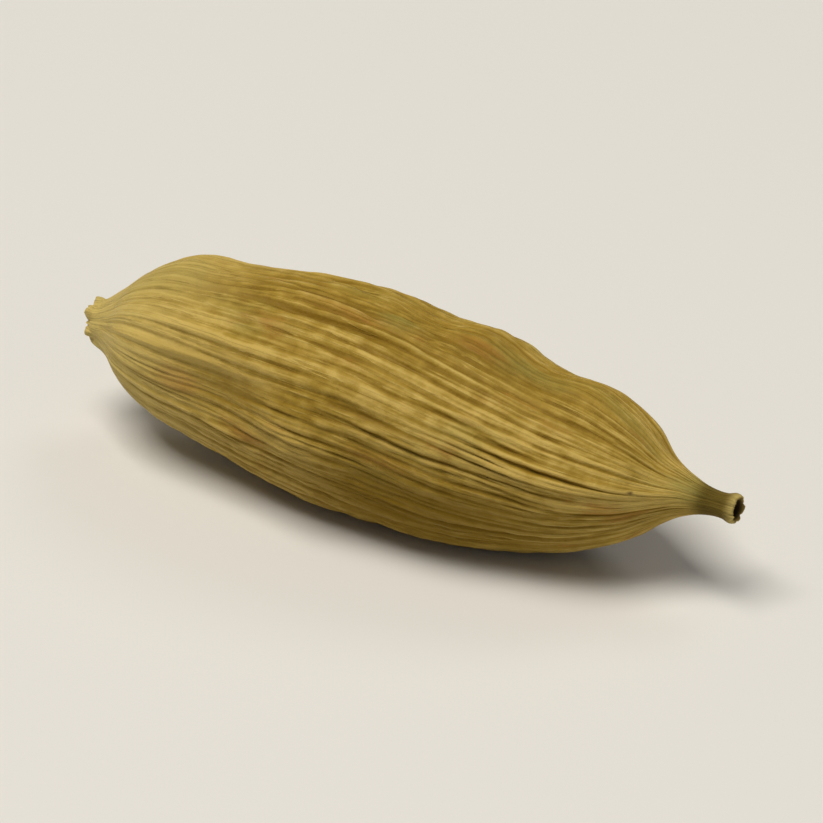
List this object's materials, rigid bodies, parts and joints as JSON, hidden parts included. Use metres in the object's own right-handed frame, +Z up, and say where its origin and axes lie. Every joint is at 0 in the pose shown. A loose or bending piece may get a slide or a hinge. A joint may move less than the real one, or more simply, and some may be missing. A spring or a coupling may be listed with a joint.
{
  "type": "dried cardamom pod",
  "caption": "Whole dried green cardamom pod: a ribbed, three-keeled spindle of a husk with a pale stalk scar at one end and a short open beak at the other, lying on its belly.",
  "frame": {"origin": "on the resting surface, under the middle of the pod's bounding box", "axes": "+X along the pod from the stalk scar to the beak, +Z up from the surface that the pod lies on, -Y the front that the picture shows"},
  "size_m": [0.0224, 0.007, 0.0069],
  "materials": {
    "dry_husk": "dry matt husk, olive tan, with a faint waxy sheen on the crests of its ribs"
  },
  "bodies": {
    "root": {"cardamom_pod": "dry_husk"}
  },
  "joints": []
}
